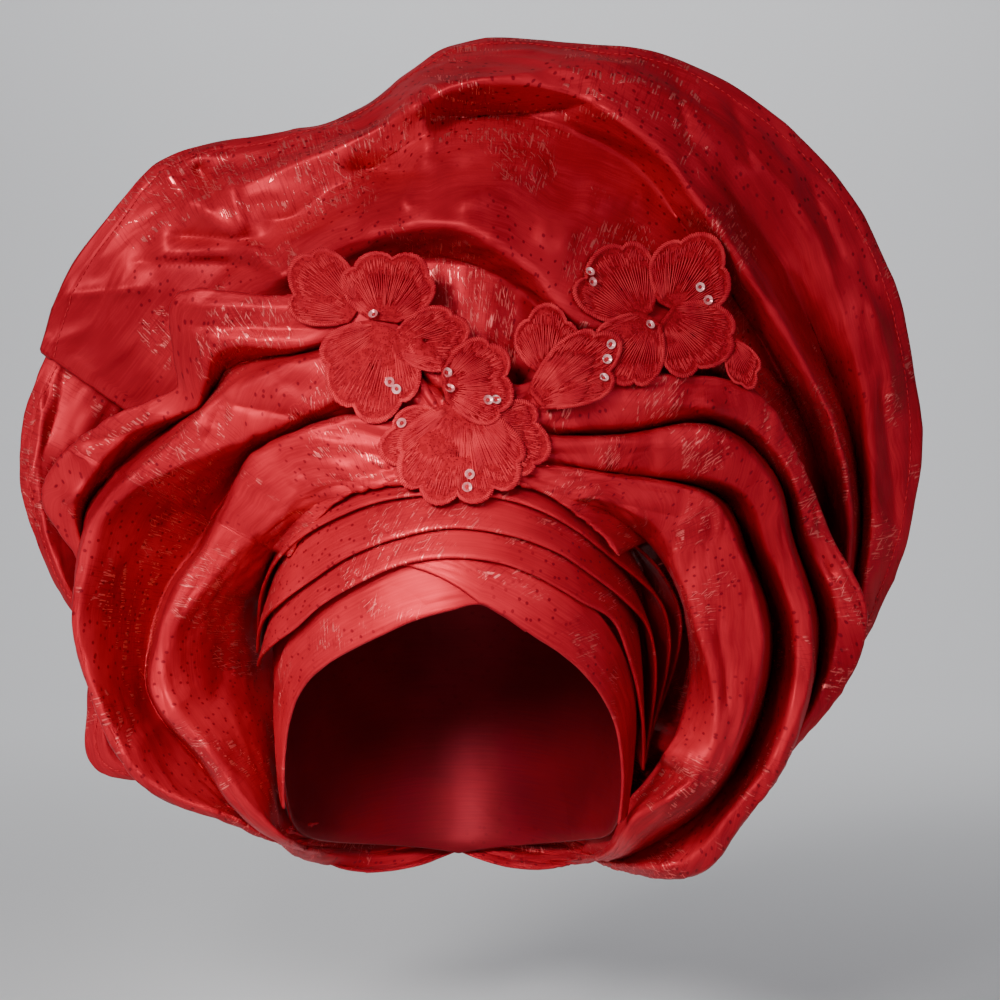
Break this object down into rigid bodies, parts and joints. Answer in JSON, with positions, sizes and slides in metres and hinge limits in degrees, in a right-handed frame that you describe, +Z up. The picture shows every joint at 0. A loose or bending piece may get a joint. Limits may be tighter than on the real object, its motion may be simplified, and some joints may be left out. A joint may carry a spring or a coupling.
{
  "type": "tied gele head tie",
  "caption": "Tied gele head tie of stiff red brocade: banded brow, folded side wings, tall fan and lace appliques with sequins, open below for the head.",
  "frame": {"origin": "middle of the head's hollow, level with the middle of the forehead", "axes": "+Z up, -Y toward the face, +X to the viewer's right"},
  "size_m": [0.3966, 0.2123, 0.3668],
  "materials": {
    "brocade": "stiff red brocade with a satin sheen, metallic threads and dots",
    "lace": "corded lace with satin stitches",
    "sequin": "clear pink gloss"
  },
  "bodies": {
    "root": {"crown_wrap": "brocade", "brow_band_under": "brocade", "brow_band_over": "brocade", "brow_pleat_1": "brocade", "brow_pleat_2": "brocade", "brow_pleat_3": "brocade", "brow_pleat_4": "brocade", "left_wing": "brocade", "right_wing": "brocade", "top_fan": "brocade", "left_leaf": "brocade", "lace_left": "lace", "lace_knot": "lace", "lace_middle": "lace", "lace_fold": "lace", "lace_right": "lace", "sequin_01": "sequin", "sequin_02": "sequin", "sequin_03": "sequin", "sequin_04": "sequin", "sequin_05": "sequin", "sequin_06": "sequin", "sequin_07": "sequin", "sequin_08": "sequin", "sequin_09": "sequin", "sequin_10": "sequin", "sequin_11": "sequin", "sequin_12": "sequin", "sequin_13": "sequin", "sequin_14": "sequin", "sequin_15": "sequin", "sequin_16": "sequin", "sequin_17": "sequin", "sequin_18": "sequin"}
  },
  "joints": []
}
